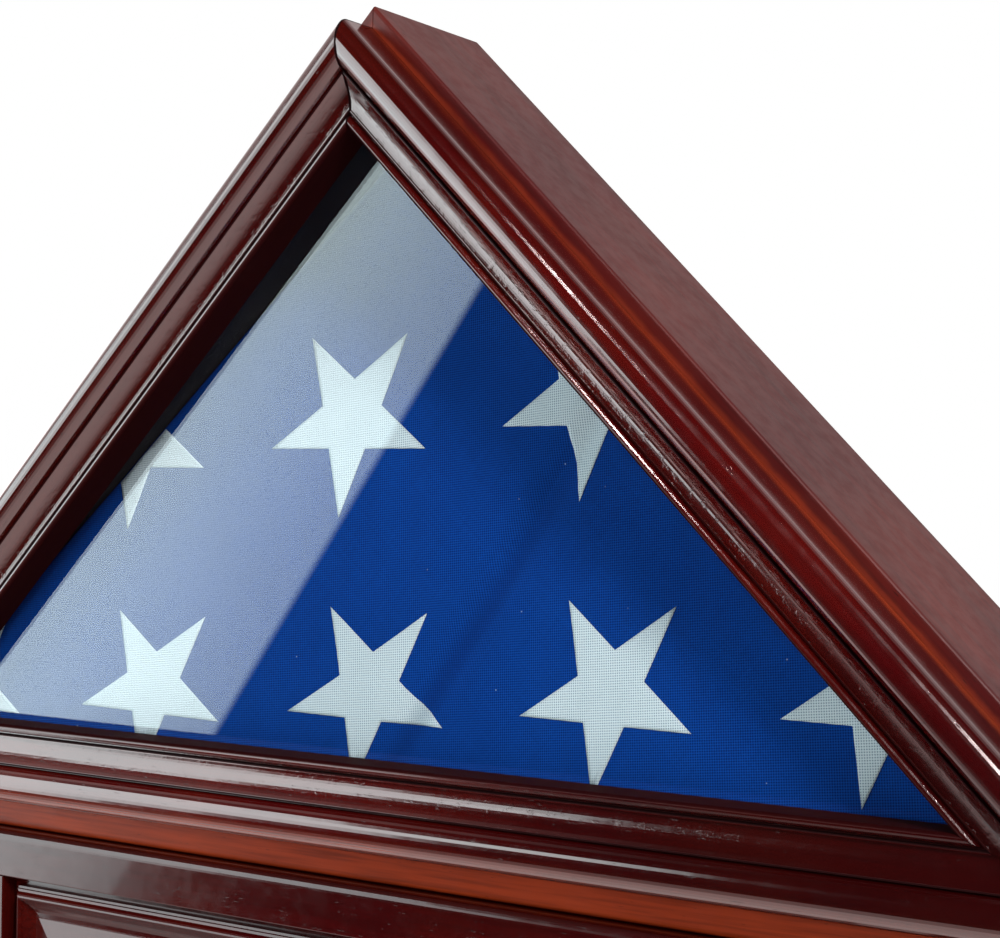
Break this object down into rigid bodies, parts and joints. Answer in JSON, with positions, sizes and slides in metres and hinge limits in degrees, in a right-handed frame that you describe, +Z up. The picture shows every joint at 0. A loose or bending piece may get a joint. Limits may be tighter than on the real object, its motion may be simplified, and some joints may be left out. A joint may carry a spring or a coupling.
{
  "type": "folded flag display case",
  "caption": "Triangular mahogany case with moulded front, glass and folded flag, standing on a raised-panel pedestal; both have hinged backs.",
  "frame": {"origin": "on the floor under the middle of the object's bounding box", "axes": "+X to the right seen from the front, +Y to the rear, +Z up; the window faces -Y"},
  "size_m": [0.825, 0.141, 0.5329],
  "materials": {
    "mahogany": "gloss lacquered dark mahogany",
    "softwood": "bare sanded wood",
    "clear_glass": "polished",
    "flag_cloth": "plain weave",
    "brass": "polished",
    "steel": "bright",
    "catch_plastic": "moulded",
    "felt": "pressed felt"
  },
  "bodies": {
    "pedestal": {"pedestal_top_rail": "mahogany", "pedestal_bottom_rail": "mahogany", "pedestal_end_stile_left": "mahogany", "pedestal_end_stile_right": "mahogany", "pedestal_inner_stile_left": "mahogany", "pedestal_inner_stile_right": "mahogany", "panel_left": "mahogany", "panel_centre": "mahogany", "panel_right": "mahogany", "pedestal_end_left": "mahogany", "pedestal_end_right": "mahogany", "pedestal_top": "mahogany", "pedestal_bottom": "mahogany", "pedestal_back": "mahogany", "plinth_front": "mahogany", "plinth_left": "mahogany", "plinth_right": "mahogany", "foot_pad_front_left": "felt", "foot_pad_front_right": "felt", "foot_pad_rear_left": "felt", "foot_pad_rear_right": "felt", "locating_pin_left": "softwood", "locating_pin_right": "softwood", "pedestal_hinge_frame_leaf": "brass", "pedestal_hinge_pin": "steel", "pedestal_catch": "catch_plastic"},
    "pedestal_door": {"pedestal_door": "mahogany", "pedestal_hinge_door_leaf": "brass", "pedestal_strike": "steel", "pedestal_door_knob": "brass"},
    "case": {"case_side_board_left": "mahogany", "case_side_board_right": "mahogany", "case_base_board": "mahogany", "front_moulding_left": "mahogany", "front_moulding_right": "mahogany", "front_moulding_bottom": "mahogany", "liner_left": "felt", "liner_right": "felt", "liner_base": "felt", "glass_pane": "clear_glass", "folded_flag": "flag_cloth", "case_catch": "catch_plastic", "case_hinge_left_frame_leaf": "brass", "case_hinge_left_pin": "steel", "case_hinge_left_frame_screw_1": "brass", "case_hinge_left_frame_screw_2": "brass", "case_hinge_right_frame_leaf": "brass", "case_hinge_right_pin": "steel", "case_hinge_right_frame_screw_1": "brass", "case_hinge_right_frame_screw_2": "brass"},
    "case_door": {"case_door": "softwood", "case_strike": "steel", "case_door_knob": "brass", "case_hinge_left_door_leaf": "brass", "case_hinge_left_door_screw_1": "brass", "case_hinge_left_door_screw_2": "brass", "case_hinge_right_door_leaf": "brass", "case_hinge_right_door_screw_1": "brass", "case_hinge_right_door_screw_2": "brass"}
  },
  "joints": [
    {"name": "case_lift", "type": "slide", "parent": "pedestal", "child": "case", "axis": [0, 0, 1], "range_m": [0, 0.15]},
    {"name": "case_door_swing", "type": "hinge", "parent": "case", "child": "case_door", "pos_m": [0, 0.04255, 0.1639], "axis": [-1, 0, 0], "range_deg": [0, 110]},
    {"name": "pedestal_door_swing", "type": "hinge", "parent": "pedestal", "child": "pedestal_door", "pos_m": [0, 0.05895, 0.0286], "axis": [-1, 0, 0], "range_deg": [0, 90]}
  ]
}
